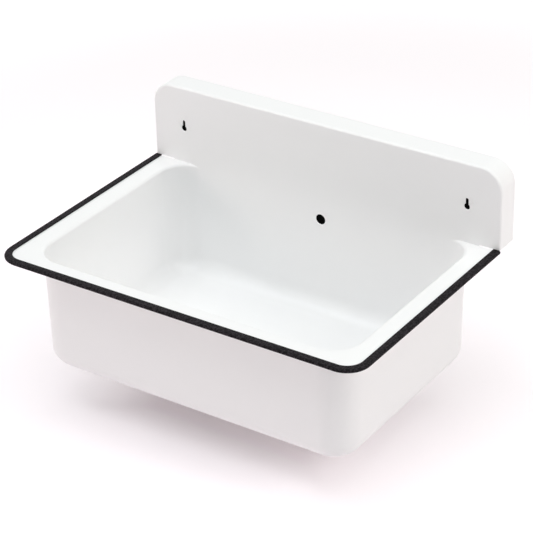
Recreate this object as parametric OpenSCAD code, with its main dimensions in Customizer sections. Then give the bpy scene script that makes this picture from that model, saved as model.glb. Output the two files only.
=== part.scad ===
// Wall-hung bucket sink: one deep-drawn enamelled bowl, a folded splashback, a push-on edge guard
// and a strainer waste. The origin lies on the splashback's front face, midway between the two
// keyholes. +X is to the right as seen by the user, +Y goes to the wall, +Z is up.

/* [Sheet] */
// Thickness of the enamelled sheet, steel and both coats
sheet = 2; // [1.4:0.1:3]

/* [Bowl] */
// Height from the flange's top to the underside of the bowl's floor
bowl_h = 155.4; // [110:0.2:240]
// Corner radius of the mouth, seen from above
mouth_corner_r = 37; // [34:0.5:60]
// Slope of the walls, so that the pressing leaves its die
draft = 1.1; // [0.5:0.1:3]
// Radius of the cove between walls and floor, inside
cove_r = 22; // [12:0.5:26]
// Radius of the top face where the flange turns down into the mouth
lip_r = 4; // [3.6:0.2:6]

/* [Flange] */
// Overall width across the edge guard
rim_w = 510; // [490:1:540]
// Overall depth from the guard's front edge to the splashback's face
rim_d = 328.5; // [320:0.5:350]
// Corner radius of the guard's outer edge, seen from above
rim_corner_r = 30; // [20:0.5:40]
// Distance from the guard's outer edge to the mouth at each side
side_flange_w = 34.5; // [28:0.5:60]
// Distance from the guard's outer edge to the mouth at the front
front_flange_w = 30.5; // [26:0.5:60]

/* [Splashback] */
// Distance from the guard's outer edge to the splashback's side
splash_inset = 1; // [0:0.5:10]
// Height of the splashback above the flange
splash_h = 105.5; // [80:0.5:160]
// Depth of the edges that are folded back to the wall
return_d = 33.5; // [20:0.5:50]
// Radius of the two upper corners, outside
splash_corner_r = 29; // [15:1:40]
// Outside radius of the fold between face and returns
fold_r = 3.2; // [3.1:0.1:5]
// Height of the returns' lower ends above the flange
return_lift = 1.1; // [0:0.1:5]

/* [Keyholes] */
// Distance between the two keyholes
key_spacing = 415; // [300:1:430]
// Height of the keyholes' round part above the flange
key_above_rim = 48; // [30:0.5:60]
// Diameter of the round part that a screw head passes
key_head_d = 8; // [7:0.5:12]
// Width of the slot that takes the screw's shank
key_slot_w = 4.5; // [3:0.1:5.5]
// Rise of the slot's upper end above the round part's centre
key_slot_rise = 9.2; // [7:0.2:14]

/* [Overflow] */
// Diameter of the overflow hole in the back wall
overflow_d = 14; // [10:0.5:25]
// Depth of the overflow hole's centre below the flange
overflow_drop = 27; // [20:0.5:60]

/* [Drain] */
// Diameter of the shallow fall in the floor round the drain
fall_d = 200; // [160:2:212]
// Depth of that fall at its inner edge
fall_depth = 3; // [1:0.2:6]
// Diameter of the flat seat for the strainer's flange
seat_d = 76; // [74:0.5:90]
// Depth of the seat below the fall
seat_depth = 4; // [4:0.1:6]
// Inside radius of the two bends between fall and seat
seat_bend_r = 1; // [0.6:0.1:1]
// Diameter of the hole for the waste
drain_hole_d = 58; // [56:0.5:60]

/* [Edge guard] */
// Width of the guard as seen from above
guard_w = 9.9; // [8:0.1:13]
// Thickness of each leg of the guard
guard_wall = 1.6; // [1.4:0.1:2.5]
// Thickness of the guard's steel core
core_t = 0.5; // [0.3:0.05:0.6]
// Distance from the core's edges to the ends of the guard's legs
core_edge = 1; // [0.6:0.1:2]
// Distance that the core stops short of the guard's cut ends
core_short = 1.5; // [0.5:0.1:5]

/* [Strainer] */
// Diameter of the strainer's flange
strainer_d = 70; // [66:0.5:73]
// Thickness of the strainer's sheet
strainer_t = 1; // [0.6:0.1:1.2]
// Depth of the strainer's dish
dish_depth = 7; // [7:0.5:10]
// Diameter of the dish's flat bottom
dish_d = 46; // [44:0.5:47]
// Inside radius of the dish's two bends
dish_bend_r = 2.5; // [1.5:0.1:2.8]
// Diameter of the drain holes in the dish
hole_d = 3.8; // [3:0.1:4.6]
// Radius of the inner ring of holes
inner_ring_r = 13.2; // [13:0.1:13.6]
// Number of holes in the inner ring
inner_holes = 10; // [6:1:12]
// Radius of the outer ring of holes
outer_ring_r = 19.4; // [19:0.1:19.8]
// Number of holes in the outer ring
outer_holes = 18; // [10:1:20]

/* [Screw and nut] */
// Diameter of the clamping screw
screw_d = 8; // [6:0.5:9]
// Diameter of the screw's countersunk head
screw_head_d = 15; // [13:0.5:18]
// Length of the screw below its head
screw_l = 30; // [26:1:36]
// Width of the slot in the screw's head
screw_slot = 1.6; // [1:0.1:2.5]
// Width of the nut across its flats
nut_af = 13; // [11.5:0.5:14]
// Height of the nut
nut_h = 8; // [5:0.5:9]

/* [Seals] */
// Thickness of the seal under the strainer's flange
upper_seal_t = 2; // [1:0.1:3]
// Width of the upper seal's ring
upper_seal_w = 5; // [3:0.5:6]
// Thickness of the seal under the bowl
lower_seal_t = 3; // [2:0.1:5]
// Outside diameter of the lower seal
lower_seal_d = 72; // [70:0.5:78]

/* [Outlet] */
// Diameter of the outlet's flange below the bowl
outlet_flange_d = 76; // [74:0.5:90]
// Thickness of that flange
outlet_flange_t = 4; // [3:0.5:6]
// Inside diameter of the outlet's cup
cup_d = 60; // [57:0.5:61]
// Height of the cup's straight wall
cup_h = 12; // [10:0.5:20]
// Height of the cone between cup and pipe
cone_h = 14; // [8:0.5:25]
// Outside diameter of the threaded pipe, G 1 1/2
pipe_d = 47.8; // [40:0.1:50]
// Inside diameter of the pipe
pipe_bore_d = 40; // [34:0.5:42]
// Length of the threaded pipe
pipe_l = 30; // [20:1:50]
// Wall thickness of the cup and the cone
outlet_wall = 3.2; // [2.5:0.1:4]
// Diameter of the boss that holds the nut
boss_d = 22; // [21:0.5:26]
// Thickness of the four arms that carry the boss
arm_t = 3.5; // [2:0.5:6]

/* [Fits] */
// Gap between the sheet's edge and the bottom of the guard's channel
edge_gap = 0.3; // [0.1:0.1:0.6]
// Play round the guard's steel core
core_play = 0.05; // [0.02:0.01:0.1]
// Gap between the guard's cut ends and the splashback
end_gap = 0.2; // [0.1:0.1:1]
// Radial play of the screw in the nut
thread_play = 0.05; // [0.02:0.01:0.15]
// Radial play of the screw in the strainer and the boss
screw_play = 0.4; // [0.2:0.1:0.8]
// Play between the nut and its pocket
nut_play = 0.15; // [0.05:0.05:0.4]
// Distance from the strainer's edge in to the upper seal's edge
seal_inset = 0.5; // [0.2:0.1:1.5]
// Radial distance from the drain hole out to the lower seal
seal_hole_gap = 1; // [0.5:0.1:2]
// Length of screw that comes out below the nut
screw_past_nut = 1; // [0.5:0.5:4]
// Depth by which the nut is set up into its boss
nut_inset = 1; // [0.5:0.5:3]

/* [Hidden] */
$fn = 96;
eps = 0.01;

// Heights of the main levels
rim_z = -key_above_rim;
splash_top = rim_z + splash_h;
floor_z = rim_z - bowl_h + sheet;
fall_z = floor_z - fall_depth;
seat_z = fall_z - seat_depth;
seat_under_z = seat_z - sheet;
flange_z = seat_z + upper_seal_t;
dish_z = flange_z - dish_depth;
outlet_top = seat_under_z - lower_seal_t;
cup_bottom = outlet_top - cup_h;
pipe_top = cup_bottom - cone_h;
outlet_bottom = pipe_top - pipe_l;

// Sizes that follow from the rim
mouth_w = rim_w - 2 * side_flange_w;
mouth_d = rim_d - front_flange_w;
splash_w = rim_w - 2 * splash_inset;

// Places seen from above: the corner centres of the mouth, and the drain in the middle of the floor
corner_x = mouth_w / 2 - mouth_corner_r;
front_corner_y = -mouth_d + mouth_corner_r;
back_corner_y = -mouth_corner_r;
drain_y = -mouth_d / 2;

// The wall's section, in distance from a corner's centre and height above the flange's top. The
// wall leans in by the draft between the lip's bend and the cove, to a hundredth of a millimetre.
lip_centre = [mouth_corner_r + lip_r, -lip_r];
cove_height = -bowl_h + sheet + cove_r;
wall_lean = round(100 * (-lip_r - cove_height) * tan(draft)) / 100;
cove_centre = [mouth_corner_r - wall_lean - cove_r, cove_height];

// The guard's section has a round nose as thick as the sheet and both legs
guard_h = sheet + 2 * guard_wall;
nose_r = guard_h / 2;
core_cover = (guard_wall - core_t) / 2;
core_outer_r = nose_r - core_cover;
channel_floor = nose_r - edge_gap;

// The flange's sheet ends in the middle of the guard's nose
sheet_edge = nose_r;
sheet_corner_r = rim_corner_r - sheet_edge;
rim_corner_x = rim_w / 2 - rim_corner_r;
rim_corner_y = -rim_d + rim_corner_r;

// Outside diameter of the upper seal, under the strainer's flange
upper_seal_d = strainer_d - 2 * seal_inset;

// Screw and nut
screw_head_h = (screw_head_d - screw_d) / 2;
dimple_r = screw_head_d / 2 + screw_play;
dimple_h = dimple_r - screw_d / 2 - screw_play;
boss_top = dish_z - strainer_t - dimple_h;
screw_top = dish_z + strainer_t - screw_play;
screw_tip = screw_top - screw_head_h - screw_l;
nut_bottom = screw_tip + screw_past_nut;
nut_top = nut_bottom + nut_h;
boss_bottom = nut_bottom - nut_inset;

ENAMEL = "#f4f4f2";
RUBBER = "#2b2c2e";
STEEL = "#c3c6c9";
SEAL = "#3a3a3c";
PLASTIC = "#e9e9e6";
BRASS = "#c9a04a";

// Quarter of a flat ring: side and up say where it lies, as -1 or 1
module quarter_ring(inner_r, outer_r, side, up) {
    intersection() {
        difference() {
            circle(outer_r);
            circle(inner_r);
        }
        translate([side < 0 ? -outer_r : 0, up < 0 ? -outer_r : 0])
            square(outer_r);
    }
}

// Sheet that steps down towards the axis over two bends and an upright wall. The lower flat
// reaches from foot_r in to inner_r.
function step_run(t, r) = 2 * r + t;
module stepped_sheet(outer_r, foot_r, inner_r, top, drop, t, r) {
    head_r = foot_r + step_run(t, r);
    translate([head_r, top - t])
        square([outer_r - head_r, t]);
    translate([head_r, top - r - t])
        quarter_ring(r, r + t, -1, 1);
    if (drop > 2 * r + t)
        translate([foot_r + r, top - drop + r])
            square([t, drop - 2 * r - t]);
    translate([foot_r, top - drop + r])
        quarter_ring(r, r + t, 1, -1);
    translate([inner_r, top - drop - t])
        square([foot_r - inner_r, t]);
}

// The bowl's wall: a leaning straight between the lip and the cove, and the floor in to the axis
module wall_section() {
    polygon([
        [mouth_corner_r, -lip_r],
        [mouth_corner_r + sheet, -lip_r],
        [mouth_corner_r + sheet - wall_lean, cove_height],
        [mouth_corner_r - wall_lean, cove_height]
    ]);
    translate(cove_centre)
        quarter_ring(cove_r, cove_r + sheet, 1, -1);
    translate([0, -bowl_h])
        square([cove_centre[0], sheet]);
}

module lip_section() {
    translate(lip_centre)
        quarter_ring(lip_r - sheet, lip_r, -1, 1);
}

// A straight run of a section, whose outward side faces angle and whose axis passes through at
module straight_run(at, angle, len) {
    translate([at[0], at[1], rim_z])
        rotate([0, 0, angle])
            rotate([90, 0, 0])
                linear_extrude(len, center = true)
                    children();
}

// A quarter turn of a section round at, from angle onwards
module quarter_turn(at, angle) {
    translate([at[0], at[1], rim_z])
        rotate([0, 0, angle])
            rotate_extrude(angle = 90)
                children();
}

// Outline with rounded front corners, seen from above, open towards the splashback
module front_rounded(half_w, front, r) {
    translate([-half_w, front + r])
        square([2 * half_w, -front - r]);
    translate([-half_w + r, front])
        square([2 * (half_w - r), r]);
    for (side = [-1, 1])
        translate([side * (half_w - r), front + r])
            circle(r);
}

module mouth_outline(grow) {
    r = mouth_corner_r + grow;
    for (x = [-corner_x, corner_x], y = [front_corner_y, back_corner_y])
        translate([x, y])
            circle(r);
    translate([-corner_x - r, front_corner_y])
        square([2 * (corner_x + r), back_corner_y - front_corner_y]);
    translate([-corner_x, front_corner_y - r])
        square([2 * corner_x, back_corner_y - front_corner_y + 2 * r]);
}

module flange() {
    translate([0, 0, rim_z - sheet])
        linear_extrude(sheet)
            difference() {
                front_rounded(rim_w / 2 - sheet_edge, -rim_d + sheet_edge, sheet_corner_r);
                mouth_outline(lip_r);
            }
}

// Floor: flat plate between the corners, with the round fall and the strainer's seat pressed in
module floor_sheet() {
    difference() {
        translate([-corner_x, front_corner_y, floor_z - sheet])
            cube([2 * corner_x, back_corner_y - front_corner_y, sheet]);
        translate([0, drain_y, floor_z - 2 * sheet])
            cylinder(d = fall_d, h = 3 * sheet);
    }
    fall_foot = seat_d / 2 + step_run(sheet, seat_bend_r) + sheet;
    translate([0, drain_y, 0])
        rotate_extrude() {
            polygon([
                [fall_d / 2, floor_z], [fall_foot, fall_z],
                [fall_foot, fall_z - sheet], [fall_d / 2, floor_z - sheet]
            ]);
            stepped_sheet(fall_foot, seat_d / 2, drain_hole_d / 2, fall_z, seat_depth, sheet, seat_bend_r);
        }
}

module drawn_tub() {
    depth = back_corner_y - front_corner_y;
    middle = (back_corner_y + front_corner_y) / 2;
    for (side = [0, 180])
        straight_run([side == 0 ? corner_x : -corner_x, middle], side, depth) {
            wall_section();
            lip_section();
        }
    straight_run([0, front_corner_y], -90, 2 * corner_x) {
        wall_section();
        lip_section();
    }
    straight_run([0, back_corner_y], 90, 2 * corner_x)
        wall_section();
    for (corner = [[corner_x, back_corner_y, 0], [-corner_x, back_corner_y, 90],
                   [-corner_x, front_corner_y, 180], [corner_x, front_corner_y, 270]])
        quarter_turn(corner, corner[2]) {
            wall_section();
            lip_section();
        }
    floor_sheet();
}

// The pressing is trimmed flush with the splashback's face, and behind it below the lip
module bowl() {
    color(ENAMEL)
        difference() {
            union() {
                drawn_tub();
                flange();
            }
            translate([-rim_w, 0, rim_z - lip_r])
                cube([2 * rim_w, rim_w, 2 * lip_r]);
            translate([0, 0, rim_z - overflow_drop])
                rotate([90, 0, 0])
                    cylinder(d = overflow_d, h = 20 * sheet, center = true);
        }
}

// Section of the splashback's edge, in distance from a corner's centre and depth towards the wall
module fold_section() {
    flat = splash_corner_r - fold_r;
    square([flat, sheet]);
    translate([flat, fold_r])
        quarter_ring(fold_r - sheet, fold_r, 1, -1);
    translate([splash_corner_r - sheet, fold_r])
        square([sheet, return_d - fold_r]);
}

module keyhole() {
    rotate([90, 0, 0])
        cylinder(d = key_head_d, h = 4 * sheet, center = true);
    translate([0, 0, key_slot_rise])
        rotate([90, 0, 0])
            cylinder(d = key_slot_w, h = 4 * sheet, center = true);
    translate([-key_slot_w / 2, -2 * sheet, 0])
        cube([key_slot_w, 4 * sheet, key_slot_rise]);
}

// Pressed splashback: the face stands on the bowl's back wall, its edges are folded to the wall
module splashback() {
    side_x = splash_w / 2 - splash_corner_r;
    arc_z = splash_top - splash_corner_r;
    side_h = arc_z - rim_z - return_lift;
    foot_half_w = corner_x + round(100 * sqrt(pow(lip_centre[0], 2) - pow(mouth_corner_r, 2))) / 100;
    color(ENAMEL)
        difference() {
            union() {
                for (side = [-1, 1]) {
                    translate([side * side_x, 0, arc_z])
                        rotate([0, 0, side < 0 ? 180 : 0])
                            mirror([0, side < 0 ? 1 : 0, 0])
                                rotate([90, 0, 0])
                                    mirror([0, 0, 1])
                                        corner_turn();
                    translate([side * side_x, 0, rim_z + return_lift])
                        mirror([side < 0 ? 1 : 0, 0, 0])
                            linear_extrude(side_h)
                                fold_section();
                }
                translate([0, 0, arc_z])
                    rotate([0, -90, 0])
                        linear_extrude(2 * side_x, center = true)
                            fold_section();
                translate([-side_x, 0, rim_z])
                    cube([2 * side_x, sheet, arc_z - rim_z]);
                translate([-splash_w / 2 + fold_r, 0, rim_z - sheet])
                    cube([splash_w - 2 * fold_r, sheet, sheet + return_lift]);
                translate([-foot_half_w, 0, rim_z - lip_r])
                    cube([2 * foot_half_w, sheet, lip_r]);
            }
            for (side = [-1, 1])
                translate([side * key_spacing / 2, 0, 0])
                    keyhole();
        }
}

// Upper corner of the splashback, as a quarter turn round an axis that points to the wall
module corner_turn() {
    rotate_extrude(angle = 90)
        fold_section();
}

// Section of the guard: legs above and below the sheet, joined by the round nose at the outside
module guard_section() {
    difference() {
        guard_outline();
        translate([rim_corner_r - guard_w - sheet, -sheet])
            square([guard_w + sheet - channel_floor, sheet]);
        core_outline(core_play, 0);
    }
}

module guard_outline() {
    translate([rim_corner_r - nose_r, -sheet / 2])
        circle(nose_r);
    translate([rim_corner_r - guard_w, -sheet / 2 - nose_r])
        square([guard_w - nose_r, guard_h]);
}

// Section of the steel core, grown by play all round and by extra at its free edges
module core_outline(play, extra) {
    leg = guard_w - nose_r - core_edge;
    translate([rim_corner_r - nose_r, -sheet / 2]) {
        for (up = [-1, 1])
            quarter_ring(core_outer_r - core_t - play, core_outer_r + play, 1, up);
        for (side = [-1, 1])
            translate([-leg - play - extra, side * (core_outer_r - core_t / 2) - core_t / 2 - play])
                square([leg + play + extra, core_t + 2 * play]);
    }
}

// Carries a section along the rim: left side, front and right side, with the two front corners
module along_rim(short) {
    side_l = -rim_corner_y - end_gap - short;
    for (side = [0, 180])
        straight_run([side == 0 ? rim_corner_x : -rim_corner_x, rim_corner_y + side_l / 2], side, side_l)
            children();
    straight_run([0, rim_corner_y], -90, 2 * rim_corner_x)
        children();
    quarter_turn([-rim_corner_x, rim_corner_y], 180)
        children();
    quarter_turn([rim_corner_x, rim_corner_y], 270)
        children();
}

module edge_guard() {
    color(RUBBER)
        along_rim(0)
            guard_section();
}

module guard_core() {
    color(STEEL)
        along_rim(core_short)
            core_outline(0, 0);
}

// Pressed strainer: flange, dish with two rings of holes, and a dimple for the screw's head
module strainer() {
    color(STEEL)
        translate([0, drain_y, 0])
            difference() {
                rotate_extrude() {
                    stepped_sheet(strainer_d / 2, dish_d / 2, dimple_r, flange_z + strainer_t,
                                  dish_depth, strainer_t, dish_bend_r);
                    translate([0, dish_z])
                        polygon([
                            [dimple_r + strainer_t, strainer_t], [dimple_r, strainer_t],
                            [dimple_r - dimple_h, strainer_t - dimple_h], [dimple_r - dimple_h, -dimple_h],
                            [dimple_r, 0], [dimple_r + strainer_t, 0]
                        ]);
                }
                hole_ring(inner_holes, inner_ring_r);
                hole_ring(outer_holes, outer_ring_r);
            }
}

module hole_ring(count, r) {
    for (i = [0:count - 1])
        rotate([0, 0, 360 * i / count])
            translate([r, 0, dish_z - strainer_t])
                cylinder(d = hole_d, h = 3 * strainer_t);
}

module flat_ring(outer_d, inner_d, bottom, h) {
    translate([0, drain_y, bottom])
        difference() {
            cylinder(d = outer_d, h = h);
            translate([0, 0, -eps])
                cylinder(d = inner_d, h = h + 2 * eps);
        }
}

module strainer_seal() {
    color(SEAL)
        flat_ring(upper_seal_d, upper_seal_d - 2 * upper_seal_w, seat_z, upper_seal_t);
}

module outlet_seal() {
    color(SEAL)
        flat_ring(lower_seal_d, drain_hole_d + 2 * seal_hole_gap, outlet_top, lower_seal_t);
}

// Moulded outlet: flange, cup, cone and threaded pipe, with the nut's boss on four arms
module outlet_body() {
    cup_r = cup_d / 2;
    bore_r = pipe_bore_d / 2;
    color(PLASTIC)
        translate([0, drain_y, 0])
            difference() {
                union() {
                    rotate_extrude()
                        polygon([
                            [cup_r, outlet_top], [outlet_flange_d / 2, outlet_top],
                            [outlet_flange_d / 2, outlet_top - outlet_flange_t],
                            [cup_r + outlet_wall, outlet_top - outlet_flange_t],
                            [cup_r + outlet_wall, cup_bottom],
                            [pipe_d / 2 + outlet_wall, pipe_top], [pipe_d / 2, pipe_top],
                            [pipe_d / 2, outlet_bottom], [bore_r, outlet_bottom],
                            [bore_r, pipe_top], [cup_r, cup_bottom]
                        ]);
                    intersection() {
                        translate([0, 0, boss_bottom])
                            arms_and_boss(boss_top - boss_bottom);
                        rotate_extrude()
                            polygon([
                                [0, outlet_top], [cup_r, outlet_top], [cup_r, cup_bottom],
                                [bore_r, pipe_top], [bore_r, outlet_bottom], [0, outlet_bottom]
                            ]);
                    }
                }
                translate([0, 0, boss_bottom - eps])
                    cylinder(d = screw_d + 2 * screw_play, h = boss_top - boss_bottom + 2 * eps);
                translate([0, 0, boss_bottom - eps])
                    hexagon(nut_af + 2 * nut_play, nut_top - boss_bottom + eps);
            }
}

module arms_and_boss(h) {
    cylinder(d = boss_d, h = h);
    for (turn = [0, 90])
        rotate([0, 0, turn])
            translate([-cup_d / 2, -arm_t / 2, 0])
                cube([cup_d, arm_t, h]);
}

module hexagon(across, h) {
    cylinder(d = across / cos(30), h = h, $fn = 6);
}

// Countersunk screw with a straight slot; it pulls the outlet up against the bowl
module clamp_screw() {
    color(STEEL)
        translate([0, drain_y, 0])
            difference() {
                union() {
                    translate([0, 0, screw_top - screw_head_h])
                        cylinder(d1 = screw_d, d2 = screw_head_d, h = screw_head_h);
                    translate([0, 0, screw_tip])
                        cylinder(d = screw_d, h = screw_l);
                }
                translate([-screw_head_d, -screw_slot / 2, screw_top - screw_head_h / 2])
                    cube([2 * screw_head_d, screw_slot, screw_head_h]);
            }
}

module clamp_nut() {
    color(BRASS)
        translate([0, drain_y, nut_bottom])
            difference() {
                hexagon(nut_af, nut_h);
                translate([0, 0, -eps])
                    cylinder(d = screw_d + 2 * thread_play, h = nut_h + 2 * eps);
            }
}

bowl();
splashback();
edge_guard();
guard_core();
strainer();
strainer_seal();
outlet_seal();
outlet_body();
clamp_screw();
clamp_nut();
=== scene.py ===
# Wall-hung bucket sink of white enamelled steel, with a black edge guard and a strainer waste.
# Sizes are in millimetres and become metres when a mesh is made. The origin lies on the
# splashback's front face, midway between its keyholes; +Y goes to the wall and +Z is up.
import math

import bmesh
import bpy
import numpy as np
from mathutils import Matrix


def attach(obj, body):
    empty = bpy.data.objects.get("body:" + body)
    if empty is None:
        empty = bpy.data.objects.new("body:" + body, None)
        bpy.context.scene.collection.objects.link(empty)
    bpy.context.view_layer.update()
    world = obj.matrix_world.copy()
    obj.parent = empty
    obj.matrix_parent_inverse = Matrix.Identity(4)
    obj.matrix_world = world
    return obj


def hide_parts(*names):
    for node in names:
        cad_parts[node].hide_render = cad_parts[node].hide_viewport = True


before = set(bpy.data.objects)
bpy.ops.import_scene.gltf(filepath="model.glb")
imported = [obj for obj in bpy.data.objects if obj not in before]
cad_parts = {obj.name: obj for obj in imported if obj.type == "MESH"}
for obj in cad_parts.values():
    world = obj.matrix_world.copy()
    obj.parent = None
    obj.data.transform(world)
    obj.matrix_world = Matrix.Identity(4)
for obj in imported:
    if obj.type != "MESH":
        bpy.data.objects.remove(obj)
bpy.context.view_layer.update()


# The bowl is drawn from one steel sheet in a press, so every edge is a bend and the walls lean in
# a little towards the floor. Its flange is cut straight at the back, where it meets the
# splashback. A shallow fall and a stepped seat for the waste are pressed into the floor.
sheet = 2.0
flange_top = -48.0
flange_side, flange_front, flange_corner_r = 252.4, -325.9, 27.4
wall_turn = [183.5, -261.0, -37.0]
mouth_r, lip_r, cove_r = 37.0, 4.0, 22.0
cut_round, cut_fade = 0.25, 2.0
overflow_r, overflow_z, overflow_round, overflow_square = 7.0, -75.0, 0.8, 15.0
drain_at, drain_r, drain_round = np.array([0.0, -149.0]), 29.0, 0.7

# Heights of the walls and the floor are taken from the flange's top.
wall_foot, wall_lean = -131.4, 2.45
floor_level, fall_drop, fall_reach = -153.4, 3.0, 100.0
seat_drop, seat_foot, seat_head = 7.0, 38.0, 42.0


def arc(start, end, steps):
    """Angles from start to end in degrees, evenly spaced, given in radians."""
    return np.radians(np.linspace(start, end, steps + 1))


def rays_at(angle):
    """Unit vectors that point at these angles."""
    return np.stack([np.cos(angle), np.sin(angle)], -1)


def walk_round(turn, x_steps, y_steps, corner_angles):
    """Stations round a rectangle with its corners at turn = (x, front y, back y): each station is
    a point of the rectangle and the outward direction there. A corner is one point at which the
    direction swings through corner_angles (0 to 90 degrees from the side's direction)."""
    x, front, back = turn
    swing = np.asarray(corner_angles, float)
    runs = []
    corners = [(x, front, -90, True), (x, back, 0, False), (-x, back, 90, True), (-x, front, 180, False)]
    for cx, cy, first, mirrored in corners:
        angle = np.radians(first + (90 - swing[::-1] if mirrored else swing))
        runs.append((np.tile([cx, cy], (len(angle), 1)), rays_at(angle)))
    along_x, along_y = x_steps[1:-1], front + (back - front) * y_steps[1:-1]
    right = np.stack([np.full_like(along_y, x), along_y], -1)
    rear = np.stack([-x * along_x, np.full_like(along_x, back)], -1)
    left = np.stack([np.full_like(along_y, -x), along_y[::-1]], -1)
    front_run = np.stack([x * along_x, np.full_like(along_x, front)], -1)
    straight = [(right, [1, 0]), (rear, [0, 1]), (left, [-1, 0]), (front_run, [0, -1])]
    at, out = [], []
    for (corner_at, corner_out), (run, direction) in zip(runs, straight):
        at += [corner_at, run]
        out += [corner_out, np.tile(np.array(direction, float), (len(run), 1))]
    return np.concatenate(at), np.concatenate(out)


def grid_faces(rows, columns, close_rows, close_columns, skip=None):
    """Quads between neighbouring points of a grid numbered row by row. A closed direction joins
    its last line to its first; skip marks the cells to leave open."""
    r = np.arange(rows if close_rows else rows - 1)
    c = np.arange(columns if close_columns else columns - 1)
    r0, c0 = np.meshgrid(r, c, indexing="ij")
    r1, c1 = (r0 + 1) % rows, (c0 + 1) % columns
    quads = np.stack([r0 * columns + c0, r0 * columns + c1, r1 * columns + c1, r1 * columns + c0], -1)
    return quads.reshape(-1, 4) if skip is None else quads[~skip]


def into_scene(name, data):
    """An object that holds this mesh, lamp or lens, linked into the scene."""
    item = bpy.data.objects.new(name, data)
    bpy.context.collection.objects.link(item)
    return item


def make_piece(name, parts, sharp_above=38):
    """One closed piece from parts, each an array of points in mm and its faces. Points that
    coincide are merged, normals are turned outwards, and edges sharper than sharp_above degrees
    stay sharp."""
    points, faces, count = [], [], 0
    for part_points, part_faces in parts:
        flat = np.asarray(part_points, float).reshape(-1, 3)
        points.append(flat)
        faces += [list(f) for f in (np.asarray(part_faces) + count).tolist()] if len(part_faces) else []
        count += len(flat)
    mesh = bpy.data.meshes.new(name)
    mesh.from_pydata((np.concatenate(points) * 0.001).tolist(), [], faces)
    work = bmesh.new()
    work.from_mesh(mesh)
    bmesh.ops.remove_doubles(work, verts=work.verts, dist=2e-6)
    bmesh.ops.dissolve_degenerate(work, edges=work.edges, dist=1e-6)
    bmesh.ops.recalc_face_normals(work, faces=work.faces)
    work.to_mesh(mesh)
    work.free()
    mesh.shade_smooth()
    mesh.set_sharp_from_angle(angle=math.radians(sharp_above))
    return into_scene(name, mesh)


def hold_between(low, high, steps):
    """Stations from low to high with two more close to each end, so that the shading of a flat
    stays flat up to the bend beside it."""
    edge = min(0.6, abs(high - low) / 6) * np.sign(high - low)
    inner = np.linspace(low + edge, high - edge, steps)
    return np.concatenate([[low, low + edge / 2], inner, [high - edge / 2, high]])


rear_columns = np.array([-1, -0.997, -0.98, -0.9, -0.75, -0.6, -0.45, -0.3, -0.2, -0.12])
square_columns = np.linspace(-overflow_square, overflow_square, 13) / wall_turn[0]
rear_columns = np.concatenate([rear_columns, square_columns, -rear_columns[::-1]])
side_columns = np.concatenate([[0, 0.005, 0.03], np.linspace(0.1, 0.9, 9), [0.97, 0.995, 1]])

# The corners have a station that points at the flange's rear tip, beside the even ones.
tip_angle = math.degrees(math.atan2(-wall_turn[2], flange_side - wall_turn[0]))
corner_swing = np.unique(np.concatenate([np.linspace(0, 90, 37), [tip_angle, 90 - tip_angle]]))
at, out = walk_round(wall_turn, rear_columns, side_columns, corner_swing)
stations = len(at)


def wall_ring(s, z):
    """The ring at distance s outside the walk and at height z above the flange's top."""
    s = np.broadcast_to(s, stations)
    level = np.broadcast_to(flange_top + np.asarray(z, float), stations)
    return np.concatenate([at + s[:, None] * out, level[:, None]], 1)


floor_edge = mouth_r - wall_lean - cove_r
bearing = (at + floor_edge * out) - drain_at
bearing /= np.linalg.norm(bearing, axis=1)[:, None]


def drain_ring(r, z):
    """The ring of radius r round the drain, each point on its station's bearing."""
    return np.concatenate([drain_at + r * bearing, np.full((stations, 1), flange_top + z)], 1)


def reach_of_flange():
    """How far each station's line runs before it meets the flange's outline: the straight sides,
    the round front corners, or the cut at the splashback's face."""
    with np.errstate(divide="ignore", invalid="ignore"):
        to_side = (np.sign(out[:, 0]) * flange_side - at[:, 0]) / out[:, 0]
        to_side = np.where(np.abs(out[:, 0]) > 1e-9, to_side, np.inf)
        to_front = np.where(out[:, 1] < -1e-9, (flange_front - at[:, 1]) / out[:, 1], np.inf)
        to_back = np.where(out[:, 1] > 1e-9, -at[:, 1] / out[:, 1], np.inf)
    reach = np.minimum(np.minimum(to_side, to_front), to_back)
    centre_x = np.where(out[:, 0] > 0, 1, -1) * (flange_side - flange_corner_r)
    centre_y = np.full(stations, flange_front + flange_corner_r)
    rel = at - np.stack([centre_x, centre_y], -1)
    along = (rel * out).sum(1)
    inside = along ** 2 - (rel ** 2).sum(1) + flange_corner_r ** 2
    to_corner = -along + np.sqrt(np.maximum(inside, 0))
    hit = at + reach[:, None] * out
    past_side = np.abs(hit[:, 0]) > flange_side - flange_corner_r
    past_front = hit[:, 1] < flange_front + flange_corner_r
    return np.where(past_side & past_front, to_corner, reach)


reach = reach_of_flange()
lip_line = mouth_r + lip_r

# The sheet's cut edge is rounded. That fades out towards the back wall, which has no flange.
seam_round = cut_round * np.clip((reach - mouth_r) / cut_fade, 0, 1)
flange_edge = reach - seam_round


def top_height(s):
    """Height of the visible face: a quarter circle over the lip's bend, and level over the flange."""
    short_of = lip_line - np.minimum(s, lip_line)
    return -lip_r + np.sqrt(np.maximum(lip_r ** 2 - short_of ** 2, 0))


def under_height(s):
    """The same for the underside, where the bend's radius is smaller by the sheet."""
    inner = lip_r - sheet
    short_of = lip_line - np.clip(s, lip_line - inner, lip_line)
    return -lip_r + np.sqrt(np.maximum(inner ** 2 - short_of ** 2, 0))


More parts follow.
